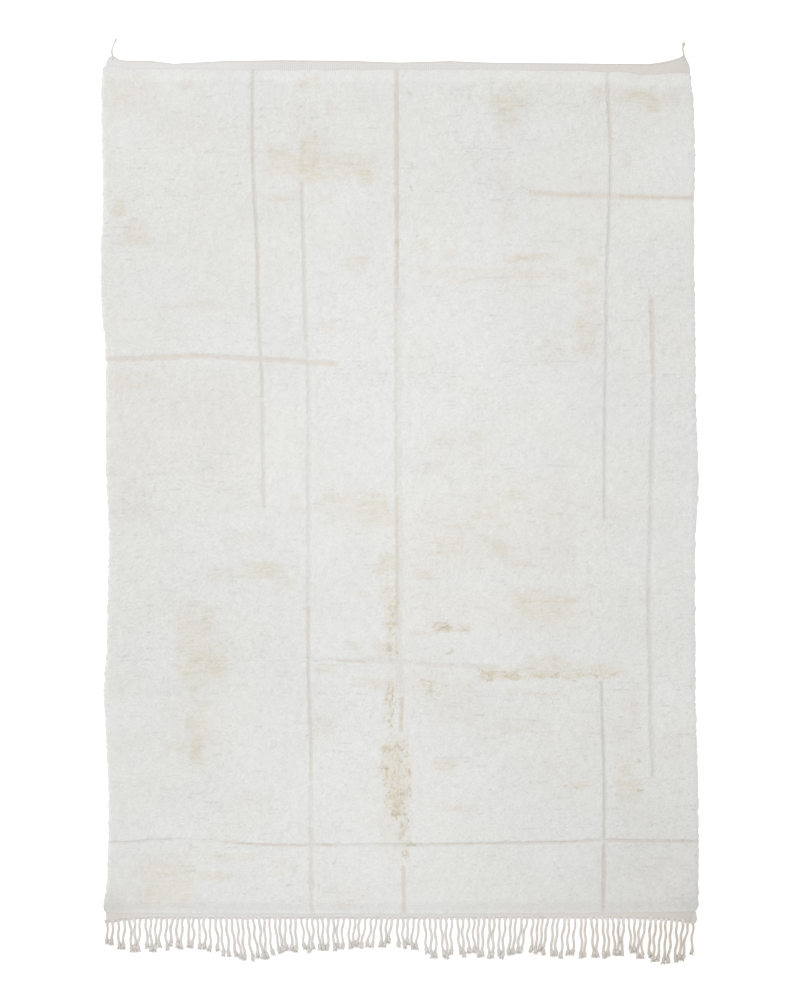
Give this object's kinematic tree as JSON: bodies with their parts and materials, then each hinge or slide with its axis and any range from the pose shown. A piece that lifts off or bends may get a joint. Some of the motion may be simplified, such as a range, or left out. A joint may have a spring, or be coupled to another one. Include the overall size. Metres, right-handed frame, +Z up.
{
  "type": "beni mrirt rug",
  "caption": "Flat hand-knotted white wool pile rug with straight carved lines in the pile, flat-woven ends, corner cords and a knotted fringe along one end.",
  "frame": {"origin": "on the underside, in the middle of the pile", "axes": "+X across the rug, +Y along it from the fringe to the plain end, +Z up out of the pile"},
  "size_m": [2.0287, 3.1335, 0.0301],
  "materials": {
    "pile_wool": "undyed white wool pile with faint cream patches",
    "flat_woven_wool": "tight flat weave of undyed wool",
    "fringe_wool": "plied undyed wool yarn, matt"
  },
  "bodies": {
    "root": {"rug_body": "pile_wool", "top_end_strip": "flat_woven_wool", "fringe_strip": "fringe_wool"}
  },
  "joints": []
}
